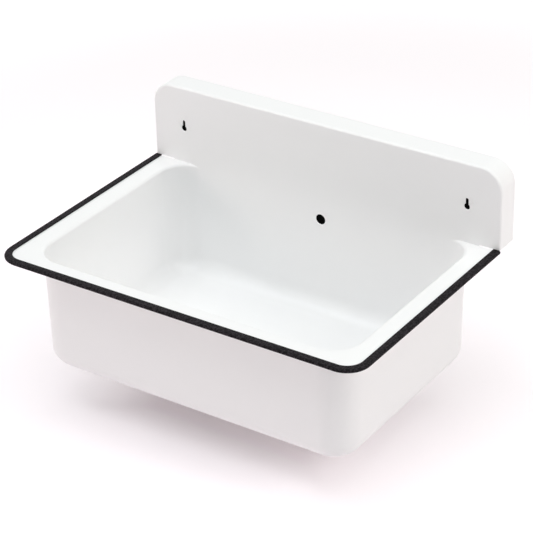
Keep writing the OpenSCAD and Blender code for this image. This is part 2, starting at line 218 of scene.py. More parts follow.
def stepped_floor(side):
    """Radius and height of the floor round the drain, from the hole outwards: seat, two bends as
    quarter circles, and the fall. The fall rises evenly less a part of a sine wave, so that both
    of its ends run out softly. side is 0 for the top face and 1 for the underside."""
    floor = floor_level - sheet * side
    seat, fall = floor - seat_drop, floor - fall_drop
    bend_low, bend_high = (1.0, 3.0) if side == 0 else (3.0, 1.0)
    low, high = arc(-90, 0, 8), arc(180, 90, 8)
    flat_r = hold_between(drain_r + drain_round, seat_foot, 4)[:-1]
    low_r, low_z = seat_foot + bend_low * np.cos(low), seat + bend_low + bend_low * np.sin(low)
    high_r, high_z = seat_head + bend_high * np.cos(high), fall - bend_high + bend_high * np.sin(high)
    part, softness, start = np.linspace(0, 1, 13)[1:], 0.55, seat_head + 2
    rise = part - np.sin(2 * np.pi * part) / (2 * np.pi) * softness
    r = [flat_r, low_r, high_r, start + (fall_reach - start) * part]
    z = [np.full(len(flat_r), seat), low_z, high_z, fall + (floor - fall) * rise]
    return np.concatenate(r), np.concatenate(z)


fall_r, fall_z = stepped_floor(0)
under_r, under_z = stepped_floor(1)


def hole_ring(a, face, inward):
    """The ring at angle a on the rounded edge of the drain hole, from a face towards the middle
    of the sheet: inward is -1 below the top face and 1 above the underside."""
    down = drain_round * (1 - math.sin(a))
    return drain_ring(drain_r + drain_round * (1 - math.cos(a)), face + inward * down)


def flat_ring(part, level):
    """The ring that lies at that part of the way from the fall's circle to the cove's foot."""
    return (1 - part) * drain_ring(fall_reach, level) + part * wall_ring(floor_edge, level)


def cove_ring(a, r):
    """The ring at angle a of the cove, whose section is a quarter circle of radius r."""
    return wall_ring(floor_edge + r * math.sin(a), wall_foot - r * math.cos(a))


def leaning_ring(z, outside):
    """The ring at height z of the wall, which leans in evenly from the lip to the cove."""
    return wall_ring(mouth_r + outside - wall_lean * (z + lip_r) / (wall_foot + lip_r), z)


# The visible face, from the drain hole over the floor, walls and lip to the flange's edge
seat_level = floor_level - seat_drop
rings = [hole_ring(a, seat_level, -1) for a in arc(0, 80, 5)]
rings += [drain_ring(r, z) for r, z in zip(fall_r, fall_z)]
rings += [flat_ring(part, floor_level) for part in (0.3, 0.6, 0.9, 0.97)]
rings += [cove_ring(a, cove_r) for a in arc(0, 90, 20)]
overflow_depth = overflow_z - flange_top
square_levels = np.linspace(overflow_depth - overflow_square, overflow_depth + overflow_square, 11)
below_square = np.concatenate([[wall_foot + 1.2, wall_foot + 4], np.linspace(-120, -50, 6)])
wall_levels = np.concatenate([below_square, square_levels, [-8, -5.2]])
rings += [leaning_ring(z, 0) for z in wall_levels]
for s in lip_line - lip_r * np.cos(arc(0, 90, 12)):
    s = np.minimum(s, flange_edge)
    rings.append(wall_ring(s, top_height(s)))
for part in (0.01, 0.04, 0.15, 0.4, 0.7, 0.95, 1.0):
    s = np.minimum(lip_line + part * np.maximum(flange_edge - lip_line, 0), flange_edge)
    rings.append(wall_ring(s, top_height(s)))
for a in arc(15, 90, 5):
    s = reach - seam_round * (1 - math.sin(a))
    rings.append(wall_ring(s, top_height(flange_edge) - seam_round * (1 - math.cos(a))))
top_rings = len(rings)

# The underside, from the sheet's edge back to the drain hole. The back wall ends in a level edge,
# which the splashback's foot stands on.
covered = reach < lip_line - lip_r + sheet
under_reach = np.maximum(reach, lip_line - lip_r + sheet)
knee = np.where(covered, -lip_r, under_height(under_reach))
rings.append(wall_ring(reach, knee))
for part in (1.0, 0.7, 0.4, 0.15, 0.03):
    s = np.minimum(lip_line + part * np.maximum(under_reach - lip_line, 0), under_reach)
    rings.append(wall_ring(s, under_height(s)))
for s in lip_line - (lip_r - sheet) * np.cos(arc(90, 0, 8)):
    s = np.minimum(s, under_reach)
    rings.append(wall_ring(s, under_height(s)))
first_under = len(rings)
rings += [leaning_ring(z, sheet) for z in wall_levels[::-1]]
rings += [cove_ring(a, cove_r + sheet) for a in arc(90, 0, 20)]
rings += [flat_ring(part, floor_level - sheet) for part in (0.97, 0.9, 0.6, 0.3)]
rings += [drain_ring(r, z) for r, z in zip(under_r[::-1], under_z[::-1])]
rings += [hole_ring(a, seat_level - sheet, 1) for a in arc(80, 0, 5)]
shell = np.stack(rings)

# The overflow hole takes a square of cells out of the back wall on both faces; rings of cells run
# from that square to the round hole, through the sheet and out to the square behind. Stations away
# from the back wall are put 1000 mm off, so that none of them is taken for the square's edge.
first_level = int(np.argmin(np.abs(shell[:top_rings, 0, 2] - flange_top - wall_levels[0])))
square_foot, square_head = len(below_square), len(below_square) + len(square_levels) - 1
low_row, high_row = first_level + square_foot, first_level + square_head
low_under = first_under + len(wall_levels) - 1 - square_head
high_under = first_under + len(wall_levels) - 1 - square_foot
elsewhere = 1000 * (np.abs(out[:, 1] - 1) > 1e-9)
rear_first = int(np.argmin(np.abs(at[:, 0] - overflow_square) + elsewhere))
rear_last = int(np.argmin(np.abs(at[:, 0] + overflow_square) + elsewhere))
skip = np.zeros((len(rings), stations), bool)
skip[low_row:high_row, rear_first:rear_last] = True
skip[low_under:high_under, rear_first:rear_last] = True


def square_edge(low, high):
    """The points round the square left open between two rows of the shell, starting at its
    lower right corner."""
    right = shell[low:high, rear_first]
    top = shell[high, rear_first:rear_last]
    left = shell[high:low:-1, rear_last]
    bottom = shell[low, rear_last:rear_first:-1]
    return np.concatenate([right, top, left, bottom])


def overflow_rings(inner_edge, outer_edge):
    """Rings from the square on the visible face to the square behind it: they close to the hole's
    circle, with the enamel rounded over both of its edges."""
    bearing_xz = inner_edge[:, [0, 2]] - [0, overflow_z]
    bearing_xz /= np.linalg.norm(bearing_xz, axis=1)[:, None]
    roll = arc(0, 90, 5)
    to_hole = np.array([11.0, 8.6])
    shrinking, growing = overflow_round * (1 - np.sin(roll)), overflow_round * (1 - np.cos(roll))
    radius = np.concatenate([to_hole, overflow_r + shrinking, overflow_r + growing, to_hole[::-1]])
    depth = np.concatenate([[0, 0], growing, sheet - shrinking, [sheet, sheet]])
    xz = [0, overflow_z] + radius[:, None, None] * bearing_xz[None]
    lean = wall_lean / (wall_foot + lip_r)
    y = mouth_r + wall_turn[2] - lean * (xz[..., 1] - flange_top + lip_r) + depth[:, None]
    middle = np.stack([xz[..., 0], y, xz[..., 1]], -1)
    return np.concatenate([inner_edge[None], middle, outer_edge[None]])


inner_square = square_edge(low_row, high_row)
outer_square = inner_square + [0, sheet, 0]
hole = overflow_rings(inner_square, outer_square)
bowl = make_piece("enamel_bowl", [
    (shell, grid_faces(*shell.shape[:2], True, True, skip)),
    (hole, grid_faces(*hole.shape[:2], False, True)),
])
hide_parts("bowl")
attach(bowl, "root")


def link_up(tree, node, links):
    """Links a node's sockets to other nodes' outputs: links holds (socket, node, output)."""
    for socket, source, output in links:
        tree.links.new(source.outputs[output], node.inputs[socket])


def add_node(tree, kind, settings=(), links=()):
    """Adds one shader node of a kind, sets its properties and sockets, given as (name, value), and
    links it up. A number stands for a socket where several share a name: a colour mix takes its
    two colours in 6 and 7 and gives the blend in output 2."""
    node = tree.nodes.new("ShaderNode" + kind)
    for key, value in settings:
        if isinstance(key, str) and hasattr(node, key):
            setattr(node, key, value)
        else:
            node.inputs[key].default_value = value
    link_up(tree, node, links)
    return node


def colour(hex_code):
    """A colour written in sRGB hex, turned to linear light."""
    part = np.array([int(hex_code[i:i + 2], 16) for i in (1, 3, 5)]) / 255
    linear = np.where(part <= 0.04045, part / 12.92, ((part + 0.055) / 1.055) ** 2.4)
    return (*linear.tolist(), 1.0)


def new_material(name, settings=()):
    """Makes a material that holds only its output and its Principled shader with these settings,
    and gives it with its tree and that shader."""
    material = bpy.data.materials.new(name)
    material.use_nodes = True
    tree = material.node_tree
    tree.nodes.clear()
    shader = add_node(tree, "BsdfPrincipled", settings)
    add_node(tree, "OutputMaterial", links=[("Surface", shader, "BSDF")])
    return material, tree, shader


# White vitreous enamel, sprayed and fired on steel: a hard glossy glass skin. It gives a bright
# soft highlight, a fine orange peel about 3 mm across and a slow waviness of the sheet below.
enamel, tree, shader = new_material("white_vitreous_enamel", [("IOR", 1.5)])
place = add_node(tree, "TexCoord")
cloud = add_node(tree, "TexNoise", [("Scale", 14.0), ("Detail", 2.0)], [("Vector", place, "Object")])
whites = [("data_type", "RGBA"), (6, colour("#f7f7f7")), (7, colour("#f5f5f6"))]
tint = add_node(tree, "Mix", whites, [(0, cloud, "Fac")])
peel = add_node(tree, "TexNoise", [("Scale", 330.0), ("Detail", 1.0)], [("Vector", place, "Object")])
wave = add_node(tree, "TexNoise", [("Scale", 16.0), ("Detail", 1.0)], [("Vector", place, "Object")])
wave_bump = add_node(tree, "Bump", [("Strength", 0.5), ("Distance", 0.0006)], [("Height", wave, "Fac")])
on_waves = [("Height", peel, "Fac"), ("Normal", wave_bump, "Normal")]
peel_bump = add_node(tree, "Bump", [("Strength", 0.12), ("Distance", 0.0001)], on_waves)
gloss = add_node(tree, "MapRange", [("To Min", 0.285), ("To Max", 0.33)], [("Value", cloud, "Fac")])
link_up(tree, shader, [
    ("Base Color", tint, 2), ("Roughness", gloss, "Result"), ("Normal", peel_bump, "Normal")])
bowl.data.materials.append(enamel)


# The splashback is a second pressing: a flat face whose top and side edges are folded back to
# the wall round two large corners, with a foot that stands on the bowl's back wall. Both
# keyholes are punched before enamelling, so the enamel rolls over their edges.
splash_half, splash_top, return_depth = 254.0, 57.5, 33.5
splash_corner_r, fold_r, return_foot = 29.0, 3.2, -46.9
key_x, key_r, slot_half, slot_rise = 207.5, 4.0, 2.25, 9.2
key_round, key_margin = 0.5, 1.6
turn_x, turn_z = splash_half - splash_corner_r, splash_top - splash_corner_r

# The face reaches lower along the bowl's back wall, so columns stand at both ends of that wall.
wall_half = 201.16
wall_columns = np.array([wall_half - key_x, wall_half - key_x + 0.01])
key_columns = np.sort(np.concatenate([np.linspace(-12, 12, 17), wall_columns, -wall_columns]))
key_rows = np.linspace(-10, 18, 17)
left_x = [[-turn_x, -turn_x + 0.5], -key_x + key_columns, [-190, -170]]
right_x = [[170, 190], key_x + key_columns, [turn_x - 0.5, turn_x]]
face_x = np.concatenate(left_x + [np.linspace(-150, 150, 13)] + right_x)
low_z, high_z = [return_foot, return_foot + 0.6, -40, -25], [turn_z - 5, turn_z - 0.6, turn_z]
face_z = np.concatenate([low_z, key_rows, high_z])


def fold_profile():
    """Distance from a corner's centre and depth, round the folded edge: out over the face, round
    the fold, back along the return, round its rim and home on the inner side."""
    bend, rim = arc(-90, 0, 10), arc(0, 180, 8)
    flat, inner_r, rim_r = splash_corner_r - fold_r, fold_r - sheet, sheet / 2
    over_face, home = hold_between(0, flat, 5)[:-1], hold_between(flat, 0, 5)[1:]
    along_return = np.array([fold_r + 0.5, 12, 24, return_depth - rim_r - 0.3])
    s = [over_face, flat + fold_r * np.cos(bend), np.full(4, splash_corner_r)]
    y = [np.zeros(len(over_face)), fold_r + fold_r * np.sin(bend), along_return]
    s += [splash_corner_r - rim_r + rim_r * np.cos(rim), np.full(4, splash_corner_r - sheet)]
    y += [return_depth - rim_r + rim_r * np.sin(rim), along_return[::-1]]
    s += [flat + inner_r * np.cos(bend[::-1]), home]
    y += [fold_r + inner_r * np.sin(bend[::-1]), np.full(len(home), sheet)]
    return np.concatenate(s), np.concatenate(y)


def along_and_mirrored(left, left_rays, middle, middle_ray):
    """A path that runs along its left part, its middle and the left part's mirror image, with the
    outward ray of each station."""
    mirror = [-1, 1]
    base = np.concatenate([left, middle, left[::-1] * mirror])
    middle_rays = np.tile(np.array(middle_ray, float), (len(middle), 1))
    return base, np.concatenate([left_rays, middle_rays, left_rays[::-1] * mirror])


def frame_round_face():
    """The folded edge carried up the left side, round the two corners and down the right side: a
    point is its station plus the profile's distance along the station's ray."""
    s, y = fold_profile()
    turn = arc(180, 90, 24)[1:]
    up = np.stack([np.full(len(face_z), -turn_x), face_z], -1)
    left = np.concatenate([up, np.tile([-turn_x, turn_z], (len(turn), 1))])
    left_rays = np.concatenate([np.tile([-1.0, 0.0], (len(up), 1)), rays_at(turn)])
    over = np.stack([face_x[1:-1], np.full(len(face_x) - 2, turn_z)], -1)
    base, rays = along_and_mirrored(left, left_rays, over, [0, 1])
    xz = base[:, None] + s[None, :, None] * rays[:, None]
    return np.stack([xz[..., 0], np.broadcast_to(y, xz.shape[:2]), xz[..., 1]], -1)


def keyhole_outline(edge, centre_x):
    """The keyhole's outline on the bearings of the square's edge, seen from a point 2 mm above the
    round part's centre: the farther of the round part and the slot with its round end."""
    eye = 2.0
    bearing_xz = edge[:, [0, 2]] - [centre_x, eye]
    bearing_xz /= np.linalg.norm(bearing_xz, axis=1)[:, None]
    bx, bz = bearing_xz[:, 0], bearing_xz[:, 1]
    round_reach = -eye * bz + np.sqrt(key_r ** 2 - eye ** 2 * bx ** 2)
    side_reach = slot_half / np.maximum(np.abs(bx), 1e-9)
    end = slot_rise - eye
    end_reach = bz * end + np.sqrt(np.maximum(slot_half ** 2 - (bx * end) ** 2, 0))
    slot_reach = np.where(side_reach * bz > -eye, side_reach, 0)
    slot_reach = np.where((side_reach * bz > end) & (bz > 0), end_reach, slot_reach)
    reach_xz = np.maximum(round_reach, slot_reach)
    outline = [centre_x, eye] + reach_xz[:, None] * bearing_xz
    step = np.roll(outline, -1, 0) - np.roll(outline, 1, 0)
    normal = np.stack([step[:, 1], -step[:, 0]], -1)
    normal /= np.linalg.norm(normal, axis=1)[:, None]
    return outline, normal * np.sign((normal * bearing_xz).sum(1))[:, None]


def keyhole_rings(edge, centre_x):
    """Rings from the square on the face through the keyhole to the square behind it: the outline
    is offset along its normals, so that the enamel rounds both edges."""
    outline, normal = keyhole_outline(edge, centre_x)
    roll = arc(0, 90, 4)
    shrinking, growing = key_round * (1 - np.sin(roll)), key_round * (1 - np.cos(roll))
    offset = np.concatenate([[key_margin], shrinking, growing, [key_margin]])
    depth = np.concatenate([[0], growing, sheet - shrinking, [sheet]])
    xz = outline[None] + offset[:, None, None] * normal[None]
    middle = np.stack([xz[..., 0], np.broadcast_to(depth[:, None], xz.shape[:2]), xz[..., 1]], -1)
    return np.concatenate([edge[None], middle, (edge + [0, sheet, 0])[None]])


face_grid_x, face_grid_z = np.meshgrid(face_x, face_z, indexing="ij")
face = np.stack([face_grid_x, np.zeros_like(face_grid_x), face_grid_z], -1)
face_skip = np.zeros((len(face_x) - 1, len(face_z) - 1), bool)
splash_parts = []
row = int(np.argmin(np.abs(face_z - key_rows[0])))
for centre_x in (-key_x, key_x):
    column = int(np.argmin(np.abs(face_x - (centre_x + key_columns[0]))))
    last_column, last_row = column + len(key_columns) - 1, row + len(key_rows) - 1
    face_skip[column:last_column, row:last_row] = True
    foot_and_right = [face[column:last_column, row], face[last_column, row:last_row]]
    head_and_left = [face[last_column:column:-1, last_row], face[column, last_row:row:-1]]
    edge = np.concatenate(foot_and_right + head_and_left)
    opening = keyhole_rings(edge, centre_x)
    splash_parts.append((opening, grid_faces(*opening.shape[:2], False, True)))
folded = frame_round_face()
cells = grid_faces(len(face_x), len(face_z), False, False, face_skip)
splash_parts += [(face, cells), (face + [0, sheet, 0], cells)]
splash_parts.append((folded, grid_faces(*folded.shape[:2], False, False)))


def foot_of_face():
    """The face's lower end: down to the flange's underside, and along the bowl's back wall down to
    where that wall begins. Each column runs down the front, under the edge and up the back."""
    foot = np.where(np.abs(face_x) <= wall_half + 0.001, flange_top - lip_r, flange_top - sheet)
    nought = np.zeros_like(face_x)
    upper = np.stack([face_x, nought, nought + return_foot], -1)
    lower = np.stack([face_x, nought, foot], -1)
    return np.stack([upper, lower, lower + [0, sheet, 0], upper + [0, sheet, 0]])


foot = foot_of_face()
splash_parts.append((foot, grid_faces(*foot.shape[:2], False, False)))
end_of_return, side_of_foot = [list(range(folded.shape[1]))], [[0, 1, 2, 3]]
splash_parts += [(folded[0], end_of_return), (folded[-1], end_of_return)]
splash_parts += [(foot[:, 0], side_of_foot), (foot[:, -1], side_of_foot)]
splash = make_piece("enamel_splashback", splash_parts)
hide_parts("splashback")
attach(splash, "root")
splash.data.materials.append(enamel)


# The edge guard is a soft black profile, extruded over a sprung steel strip and pushed on over
# the flange's raw edge. It is one length, bent round both front corners and cut square at the
# splashback.
guard_turn, guard_end = [225.0, -298.5], -0.2
guard_outer, guard_width, guard_leg, guard_nose = 30.0, 9.9, 1.6, 2.4
guard_tip, guard_crown = 0.55, 0.12
guard_middle = flange_top - sheet / 2


def guard_profile():
    """Distance from a corner's centre and height above the sheet's middle, round the profile: over
    the round nose, in along the upper leg, which is crowned by half a sine wave, round its lip,
    and out again below it. The lower half is the upper one's mirror image."""
    nose_r, inner = sheet / 2 + guard_leg, guard_outer - guard_width
    nose_angle, tip_angle = arc(-90, 90, 20), arc(90, 180, 5)
    leg = hold_between(guard_outer - nose_r, inner + guard_tip, 4)[1:-1]
    crown = guard_crown * np.sin(np.pi * (leg - inner) / (guard_outer - nose_r - inner))
    level = nose_r - guard_crown
    s = [guard_outer - nose_r + nose_r * np.cos(nose_angle), leg]
    z = [nose_r * np.sin(nose_angle), level + crown]
    s += [inner + guard_tip + guard_tip * np.cos(tip_angle)]
    z += [level - guard_tip + guard_tip * np.sin(tip_angle)]
    s += [[inner + 0.1, inner + 0.4, guard_outer - guard_nose]]
    z += [[sheet / 2 + 0.3, sheet / 2, sheet / 2]]
    upper = np.stack([np.concatenate(s), np.concatenate(z)], -1)
    half = upper[upper[:, 1] >= -1e-9]
    return np.concatenate([half, half[::-1] * [1, -1]])


def guard_path():
    """The walk along the rim: left side, front-left corner, front, front-right corner, right side."""
    along = np.concatenate([[0, 0.01], np.linspace(0.05, 0.95, 10), [0.99, 1]])
    x, front = guard_turn
    turn = arc(180, 270, 20)[1:-1]
    left_y = guard_end + (front - guard_end) * along
    left_side = np.stack([np.full_like(left_y, -x), left_y], -1)
    left = np.concatenate([left_side, np.tile([-x, front], (len(turn), 1))])
    left_rays = np.concatenate([np.tile([-1.0, 0.0], (len(along), 1)), rays_at(turn)])
    across = np.stack([-x + 2 * x * along, np.full_like(along, front)], -1)
    return along_and_mirrored(left, left_rays, across, [0, -1])


section = guard_profile()
base, rays = guard_path()
xy = base[:, None] + section[None, :, :1] * rays[:, None]
guard_level = np.broadcast_to(guard_middle + section[None, :, 1:], (*xy.shape[:2], 1))
guard_surface = np.concatenate([xy, guard_level], -1)
cut_end = [list(range(len(section)))]
guard = make_piece("rubber_edge_guard", [
    (guard_surface, grid_faces(*guard_surface.shape[:2], False, True)),
    (guard_surface[0], cut_end), (guard_surface[-1], cut_end),
], 50)
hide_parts("edge_guard")
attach(guard, "root")

# Soft black PVC, extruded through a sand-blasted die: matte, with a dusty bloom and a leathery
# grain that breaks up the highlight. The grain is drawn 2 mm across, coarser than it is, so that
# it shows.
soft_matte = [("Roughness", 0.6), ("Specular IOR Level", 0.08)]
guard_pvc, tree, shader = new_material("black_extruded_soft_pvc", soft_matte)
place = add_node(tree, "TexCoord")
grain = add_node(tree, "TexNoise", [("Scale", 480.0), ("Detail", 3.0)], [("Vector", place, "Object")])
pits = add_node(tree, "MapRange", [("From Min", 0.42), ("From Max", 0.6)], [("Value", grain, "Fac")])
bloom = add_node(tree, "TexNoise", [("Scale", 60.0), ("Detail", 3.0)], [("Vector", place, "Object")])
blacks = [("data_type", "RGBA"), (6, colour("#060506")), (7, colour("#2d292d"))]
speck = add_node(tree, "Mix", blacks, [(0, pits, "Result")])
thin_dust = [("From Min", 0.35), ("From Max", 0.75), ("To Min", 0.0), ("To Max", 0.25)]
dust = add_node(tree, "MapRange", thin_dust, [("Value", bloom, "Fac")])
dust_grey = [("data_type", "RGBA"), (7, colour("#272427"))]
dusty = add_node(tree, "Mix", dust_grey, [(0, dust, "Result"), (6, speck, 2)])
grain_bump = add_node(tree, "Bump", [("Strength", 0.35), ("Distance", 0.0002)], [("Height", grain, "Fac")])
link_up(tree, shader, [("Base Color", dusty, 2), ("Normal", grain_bump, "Normal")])
guard.data.materials.append(guard_pvc)


# The guard's core is a strip of spring steel inside the soft profile. It is sealed in and shows
# nowhere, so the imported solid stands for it.
spring, tree, shader = new_material("rolled_spring_steel", [("Metallic", 1.0), ("Roughness", 0.45)])
place = add_node(tree, "TexCoord")
scale_marks = add_node(tree, "TexNoise", [("Scale", 400.0), ("Detail", 4.0)], [("Vector", place, "Object")])
blues = [("data_type", "RGBA"), (6, colour("#6d7075")), (7, colour("#8b8e93"))]
blued = add_node(tree, "Mix", blues, [(0, scale_marks, "Fac")])
link_up(tree, shader, [("Base Color", blued, 2)])


def dress(node_name, material):
    """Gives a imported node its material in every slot."""
    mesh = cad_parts[node_name].data
    mesh.materials.clear()
    mesh.materials.append(material)


dress("guard_core", spring)


# The strainer is pressed from thin stainless sheet: a flat rim, a dish with two rings of punched
# holes, and a dimple for the clamping screw's head.
bare_metal = [("Metallic", 1.0), ("Base Color", colour("#c9cacb"))]
stainless, tree, shader = new_material("satin_pressed_stainless_sheet", bare_metal)
place = add_node(tree, "TexCoord")
from_drain = (0.0, -drain_at[1] * 0.001, 0.0)
centred = add_node(tree, "Mapping", [("Location", from_drain)], [("Vector", place, "Object")])
round_drain = [("wave_type", "RINGS"), ("rings_direction", "Z")]
satin = round_drain + [("Scale", 420.0), ("Distortion", 2.0), ("Detail", 2.0)]
rings_of_polish = add_node(tree, "TexWave", satin, [("Vector", centred, "Vector")])
smear = add_node(tree, "TexNoise", [("Scale", 90.0), ("Detail", 3.0)], [("Vector", place, "Object")])
polish = add_node(tree, "MapRange", [("To Min", 0.24), ("To Max", 0.36)], [("Value", smear, "Fac")])
polish_depth = [("Strength", 0.15), ("Distance", 0.00005)]
polish_bump = add_node(tree, "Bump", polish_depth, [("Height", rings_of_polish, "Fac")])
link_up(tree, shader, [("Roughness", polish, "Result"), ("Normal", polish_bump, "Normal")])
dress("strainer", stainless)


# Two flat rubber rings seal the waste: one between the strainer's rim and its seat, and one
# between the bowl's underside and the outlet.
seal_rubber, tree, shader = new_material("moulded_black_nitrile", [("Roughness", 0.6)])
place = add_node(tree, "TexCoord")
talc = add_node(tree, "TexNoise", [("Scale", 500.0), ("Detail", 3.0)], [("Vector", place, "Object")])
rubber_blacks = [("data_type", "RGBA"), (6, colour("#1b1b1c")), (7, colour("#2a2a2b"))]
talced = add_node(tree, "Mix", rubber_blacks, [(0, talc, "Fac")])
talc_bump = add_node(tree, "Bump", [("Strength", 0.2), ("Distance", 0.0001)], [("Height", talc, "Fac")])
link_up(tree, shader, [("Base Color", talced, 2), ("Normal", talc_bump, "Normal")])
dress("strainer_seal", seal_rubber)
dress("outlet_seal", seal_rubber)


# The outlet is moulded in white polypropylene: a flange that presses the lower seal, a cup, a
# cone and a pipe with the trap's thread. Four arms in the cup carry the boss for the nut.
outlet_top, flange_foot, cup_foot, cone_foot, pipe_end = -213.4, -217.4, -225.4, -239.4, -269.4
outlet_flange_r, cup_r, cone_foot_r, cup_inner_r, pipe_inner_r = 38.0, 33.2, 27.1, 30.0, 20.0
thread_pitch, thread_depth, thread_crest, thread_start = 25.4 / 11, 1.48, 23.9, -240.0
thread_rows, end_bevel = 178, 1.3
boss_r, screw_hole_r, pocket_half = 11.0, 4.4, 6.65
boss_top, pocket_roof, boss_foot = -217.9, -237.3, -246.3
arm_half, arm_round, arm_reach = 1.75, 0.4, 14
polypropylene, tree, shader = new_material("moulded_white_polypropylene", [("Roughness", 0.42)])
place = add_node(tree, "TexCoord")
flow = add_node(tree, "TexNoise", [("Scale", 60.0), ("Detail", 2.0)], [("Vector", place, "Object")])
milky_whites = [("data_type", "RGBA"), (6, colour("#e4e4df")), (7, colour("#ebebe7"))]
milky = add_node(tree, "Mix", milky_whites, [(0, flow, "Fac")])
spark = add_node(tree, "TexNoise", [("Scale", 2200.0), ("Detail", 1.0)], [("Vector", place, "Object")])
spark_bump = add_node(tree, "Bump", [("Strength", 0.15), ("Distance", 0.00005)], [("Height", spark, "Fac")])
link_up(tree, shader, [("Base Color", milky, 2), ("Normal", spark_bump, "Normal")])


def rounded(corners, steps=5):
    """An outline through corners = (distance, height, radius), the last beside the first: each is
    cut by the arc of its radius that touches both of its sides, and has a station a little before
    and a little after that arc."""
    corners = np.array(corners, float)
    point, radius = corners[:, :2], corners[:, 2:]
    before, after = np.roll(point, 1, 0) - point, np.roll(point, -1, 0) - point
    long_before = np.linalg.norm(before, axis=1, keepdims=True)
    long_after = np.linalg.norm(after, axis=1, keepdims=True)
    before, after = before / long_before, after / long_after
    half = np.arccos(np.clip((before * after).sum(1, keepdims=True), -1, 1)) / 2
    cut = radius / np.tan(half)
    inward = (before + after) / np.linalg.norm(before + after, axis=1, keepdims=True)
    centre = point + inward * radius / np.sin(half)
    first, last = point + before * cut - centre, point + after * cut - centre
    start = np.arctan2(first[:, 1], first[:, 0])
    swing = (np.arctan2(last[:, 1], last[:, 0]) - start + np.pi) % (2 * np.pi) - np.pi
    angle = start[:, None] + swing[:, None] * np.linspace(0, 1, steps + 1)
    bend = centre[:, None] + radius[:, :, None] * rays_at(angle)
    lead_in = point + before * (cut + 0.2 * np.minimum(long_before - 2 * cut, 1.5))
    lead_out = point + after * (cut + 0.2 * np.minimum(long_after - 2 * cut, 1.5))
    return np.concatenate([lead_in[:, None], bend, lead_out[:, None]], 1).reshape(-1, 2)


def lathe(outline, columns):
    """The outline, in distance from the drain's axis and height, carried once round that axis."""
    turn = np.radians(np.arange(columns) * 360 / columns)
    ring = outline[:, None, :1] * rays_at(turn)
    height = np.broadcast_to(outline[:, None, 1:], (*ring.shape[:2], 1))
    return np.concatenate([drain_at + ring, height], -1), turn


def threaded_shell():
    """Flange, cup, cone and pipe in one wall. The pipe's outside is cut by a right-hand thread of
    11 turns to the inch: a cosine wave along the pipe, 1.48 mm deep, that climbs one pitch in
    each turn, fades in over the first turn below the cone and is bevelled at the pipe's end."""
    outside = rounded([
        (cup_inner_r, outlet_top, 0.4), (outlet_flange_r, outlet_top, 0.6),
        (outlet_flange_r, flange_foot, 0.8), (cup_r, flange_foot, 0.8), (cup_r, cup_foot, 3.0),
        (cone_foot_r, cone_foot, 0.8), (thread_crest, cone_foot, 0.3)])
    thread_heights = np.linspace(thread_start, pipe_end, thread_rows)
    threaded = np.stack([np.full(thread_rows, thread_crest), thread_heights], -1)
    inside = rounded([
        (pipe_inner_r, pipe_end, 0.5), (pipe_inner_r, cone_foot, 2.0), (cup_inner_r, cup_foot, 2.0)])
    per_corner = 8
    first_corner, other_corners = np.split(outside, [per_corner])
    outline = np.concatenate([other_corners, threaded, inside, first_corner])
    surface, turn = lathe(outline, 128)
    rows = slice(len(other_corners), len(other_corners) + thread_rows)
    height = surface[rows, :, 2]
    fade = np.clip((thread_start - height) / thread_pitch, 0, 1)
    wave = 0.5 - 0.5 * np.cos(2 * np.pi * (height / thread_pitch - turn / (2 * np.pi)))
    bevel = thread_crest - np.maximum(0, end_bevel - (height - pipe_end))
    radius = np.minimum(thread_crest - thread_depth * fade * wave, bevel)
    surface[rows, :, :2] = drain_at + radius[..., None] * rays_at(turn)
    return surface


def nut_boss():
    """The boss in the middle: a round post with the screw's hole, and from below a pocket whose
    radius runs as half the nut's width over the cosine, once in each sixth of a turn."""
    outline = rounded([
        (screw_hole_r, boss_top, 0.3), (boss_r, boss_top, 0.6), (boss_r, boss_foot, 0.6),
        (pocket_half, boss_foot, 0.2), (pocket_half, pocket_roof, 0.0),
        (screw_hole_r, pocket_roof, 0.0)], 3)
    surface, turn = lathe(outline, 96)
    on_wall = (outline[:, 0] > pocket_half - 0.25) & (outline[:, 0] < pocket_half + 0.55)
    pocket = on_wall & (outline[:, 1] < pocket_roof + 0.1)
    stretch = 1 / np.cos(turn % (np.pi / 3) - np.pi / 6)
    surface[pocket, :, :2] = drain_at + (surface[pocket, :, :2] - drain_at) * stretch[:, None]
    return surface


def carrying_arm(direction):
    """One of the four arms, a plate 3.5 mm thick from the boss to the wall of cup, cone and pipe.
    Its outline shrinks a little towards both faces, so that its edges are rounded."""
    in_boss, in_cup, in_pipe = boss_r - 1, cup_inner_r + 0.3, pipe_inner_r + 0.3
    upper = [[in_boss, boss_top], [in_cup, boss_top], [in_cup, cup_foot - 0.1]]
    lower = [[in_pipe, cone_foot - 0.1], [in_pipe, boss_foot], [in_boss, boss_foot]]
    outline = np.array(upper + lower)
    middle = outline.mean(0)
    roll = arc(0, 90, 4)
    from_side, from_edge = arm_half - arm_round * (1 - np.cos(roll)), 1 - np.sin(roll)
    across = np.concatenate([-from_side, from_side[::-1]])
    shrink = 1 - arm_round * np.concatenate([from_edge, from_edge[::-1]]) / arm_reach
    section = middle + shrink[:, None, None] * (outline - middle)
    along, sideways = np.array(direction), np.array([-direction[1], direction[0]])
    xy = drain_at + section[..., :1] * along + across[:, None, None] * sideways
    return np.concatenate([xy, section[..., 1:]], -1)


shell_wall, post = threaded_shell(), nut_boss()
outlet_parts = [(wall, grid_faces(*wall.shape[:2], True, True)) for wall in (shell_wall, post)]
for direction in ((1.0, 0.0), (0.0, 1.0), (-1.0, 0.0), (0.0, -1.0)):
    arm = carrying_arm(direction)
    flat_side = [list(range(arm.shape[1]))]
    outlet_parts.append((arm, grid_faces(*arm.shape[:2], False, True)))
    outlet_parts += [(arm[0], flat_side), (arm[-1], flat_side)]
outlet = make_piece("threaded_outlet", outlet_parts, 50)
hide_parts("outlet_body")
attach(outlet, "root")
outlet.data.materials.append(polypropylene)


